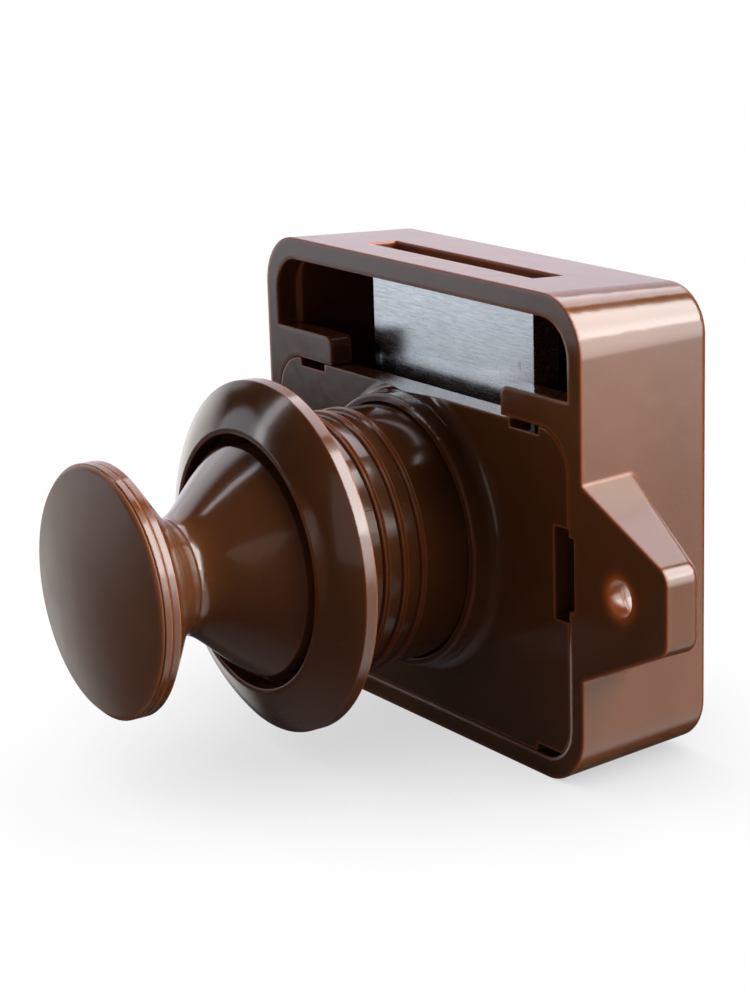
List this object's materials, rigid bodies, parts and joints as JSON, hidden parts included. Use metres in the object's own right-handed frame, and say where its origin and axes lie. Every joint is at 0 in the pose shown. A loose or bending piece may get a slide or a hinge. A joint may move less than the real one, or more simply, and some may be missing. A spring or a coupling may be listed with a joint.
{
  "type": "push button cabinet lock",
  "caption": "Push button cabinet lock: a mushroom knob in a domed rosette slides through the door and drives a flat bolt out of the box on its back.",
  "frame": {"origin": "on the knob's axis, in the plane of the box's front rim, which lies on the door's inner face", "axes": "+Y from the door into the box, along the knob's travel inwards; +Z the way the bolt shoots; +X along the line of the two screw holes"},
  "size_m": [0.0724, 0.0501, 0.044],
  "materials": {
    "housing_plastic": "glossy chocolate brown injection moulded plastic",
    "cover_plastic": "glossy chocolate brown injection moulded plastic",
    "bezel_plastic": "glossy chocolate brown injection moulded plastic",
    "knob_plastic": "glossy chocolate brown injection moulded plastic",
    "cap_plastic": "glossy chocolate brown injection moulded plastic",
    "acetal": "satin black acetal",
    "bolt_steel": "cold rolled steel, bright zinc finish",
    "pin_steel": "plain steel",
    "screw_steel": "zinc plated steel",
    "spring_steel": "drawn spring steel"
  },
  "bodies": {
    "lock_case": {"housing": "housing_plastic", "front_cover": "cover_plastic", "bezel": "bezel_plastic", "follower_bracket": "acetal", "bracket_screws": "screw_steel", "follower_leaf": "spring_steel", "guide_plate": "acetal", "guide_screws": "screw_steel", "spring_pin": "pin_steel", "spring_washer": "screw_steel", "knob_spring": "spring_steel"},
    "knob": {"knob_body": "knob_plastic", "knob_cap": "cap_plastic", "knob_screw": "screw_steel", "knob_washer": "screw_steel", "plunger": "acetal"},
    "bolt": {"bolt_yoke": "acetal", "bolt_plate": "bolt_steel", "bolt_screws": "screw_steel", "cam_pin_left": "pin_steel", "cam_pin_right": "pin_steel"},
    "follower": {"latch_follower": "spring_steel"}
  },
  "joints": [
    {"name": "knob_slide", "type": "slide", "parent": "lock_case", "child": "knob", "axis": [0, 1, 0], "range_m": [0, 0.0135], "stiffness_N_per_m": 250, "springref_m": -0.008, "deforming": ["knob_spring"]},
    {"name": "bolt_slide", "type": "slide", "parent": "lock_case", "child": "bolt", "axis": [0, 0, 1], "range_m": [0, 0.0074]},
    {"name": "follower_swing", "type": "hinge", "parent": "lock_case", "child": "follower", "pos_m": [-0.0018, 0.008, -0.0099], "axis": [0, 0, 1], "range_deg": [0, 18]}
  ],
  "couplings": [
    {"joint": "bolt_slide", "follows": "knob_slide", "ratio": 0.54815}
  ]
}
